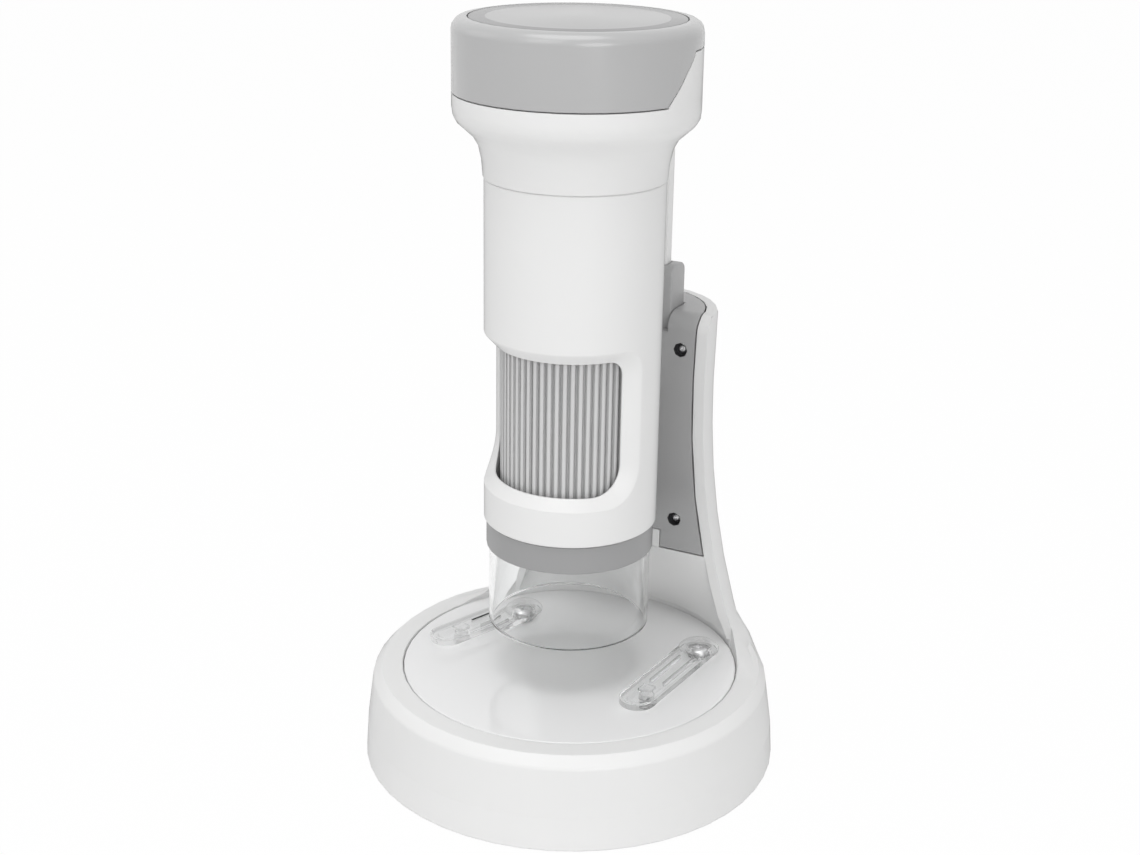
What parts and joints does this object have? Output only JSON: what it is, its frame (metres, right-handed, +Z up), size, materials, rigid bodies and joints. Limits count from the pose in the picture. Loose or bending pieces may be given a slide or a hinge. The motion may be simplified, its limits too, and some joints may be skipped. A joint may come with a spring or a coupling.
{
  "type": "digital microscope",
  "caption": "Handheld digital microscope with a display head, held on a sliding carriage above a round white stand with clear stage clips.",
  "frame": {"origin": "centre of the round foot, on the surface that the stand stands on", "axes": "+Z up along the microscope's barrel, -Y toward the front of the stand, +X to the right seen from the front"},
  "size_m": [0.1114, 0.1114, 0.197],
  "materials": {
    "white": "fine satin",
    "grey": "satin",
    "silver": "satin",
    "dark": "matte",
    "clear": "clear polished",
    "screen": "polished",
    "lens": "polished",
    "steel": "plated",
    "rubber": "matte",
    "board": "solder mask",
    "lamp": "clear",
    "battery": "foil wrap",
    "ribbon": "satin film"
  },
  "bodies": {
    "stand": {"stand_shell": "white", "base_cover": "white", "ballast_plate": "steel", "stage_disc": "white", "column_panel": "grey", "clip_bush_left": "steel", "clip_bush_right": "steel", "clip_screw_left": "steel", "clip_screw_right": "steel", "foot_1": "rubber", "foot_2": "rubber", "foot_3": "rubber", "foot_4": "rubber", "base_screw_1": "steel", "base_screw_2": "steel", "base_screw_3": "steel", "base_screw_4": "steel", "panel_screw_1": "steel", "panel_screw_2": "steel", "panel_screw_3": "steel", "panel_screw_4": "steel"},
    "carriage": {"carriage": "grey", "friction_pad": "dark", "friction_spring": "steel"},
    "microscope": {"body_shell": "white", "neck_shell": "white", "head_bezel": "silver", "display_glass": "screen", "display_module": "dark", "main_board": "board", "battery": "battery", "inner_frame": "dark", "power_switch": "dark", "shutter_switch": "dark", "usb_port": "steel", "guide_tube": "dark", "sensor_board": "board", "image_sensor": "dark", "ribbon_cable": "ribbon", "led_board": "board", "hood_ring": "silver", "clear_hood": "clear", "led_1": "lamp", "led_2": "lamp", "led_3": "lamp", "led_4": "lamp", "led_5": "lamp", "led_6": "lamp"},
    "focus_wheel": {"focus_wheel": "silver"},
    "lens": {"lens_barrel": "dark", "cam_pin": "steel", "objective_lens": "lens", "rear_lens": "lens"},
    "clip_left": {"clip_left": "clear"},
    "clip_right": {"clip_right": "clear"},
    "power_button": {"power_button": "white"},
    "shutter_button": {"shutter_button": "white"}
  },
  "joints": [
    {"name": "carriage_slide", "type": "slide", "parent": "stand", "child": "carriage", "axis": [0, 0, 1], "range_m": [-0.009, 0.02]},
    {"name": "microscope_lift", "type": "slide", "parent": "carriage", "child": "microscope", "axis": [0, 0, 1], "range_m": [0, 0.06]},
    {"name": "focus_turn", "type": "hinge", "parent": "microscope", "child": "focus_wheel", "pos_m": [0, -0.0013, 0.0985], "axis": [0, 0, 1], "range_deg": [-150, 150]},
    {"name": "lens_slide", "type": "slide", "parent": "microscope", "child": "lens", "axis": [0, 0, 1], "range_m": [-0.0025, 0.0025]},
    {"name": "clip_left_swing", "type": "hinge", "parent": "stand", "child": "clip_left", "pos_m": [-0.02453, 0.018, 0.0275], "axis": [0, 0, 1], "range_deg": [-17, 43]},
    {"name": "clip_right_swing", "type": "hinge", "parent": "stand", "child": "clip_right", "pos_m": [0.03015, 0.01823, 0.0275], "axis": [0, 0, 1], "range_deg": [-20, 36]},
    {"name": "power_press", "type": "slide", "parent": "microscope", "child": "power_button", "axis": [-0.342, -0.9397, 0], "range_m": [0, 0.0006], "stiffness_N_per_m": 1500},
    {"name": "shutter_press", "type": "slide", "parent": "microscope", "child": "shutter_button", "axis": [0.342, -0.9397, 0], "range_m": [0, 0.0006], "stiffness_N_per_m": 1500}
  ],
  "couplings": [
    {"joint": "focus_turn", "follows": "lens_slide", "rad_per_m": 1047}
  ]
}
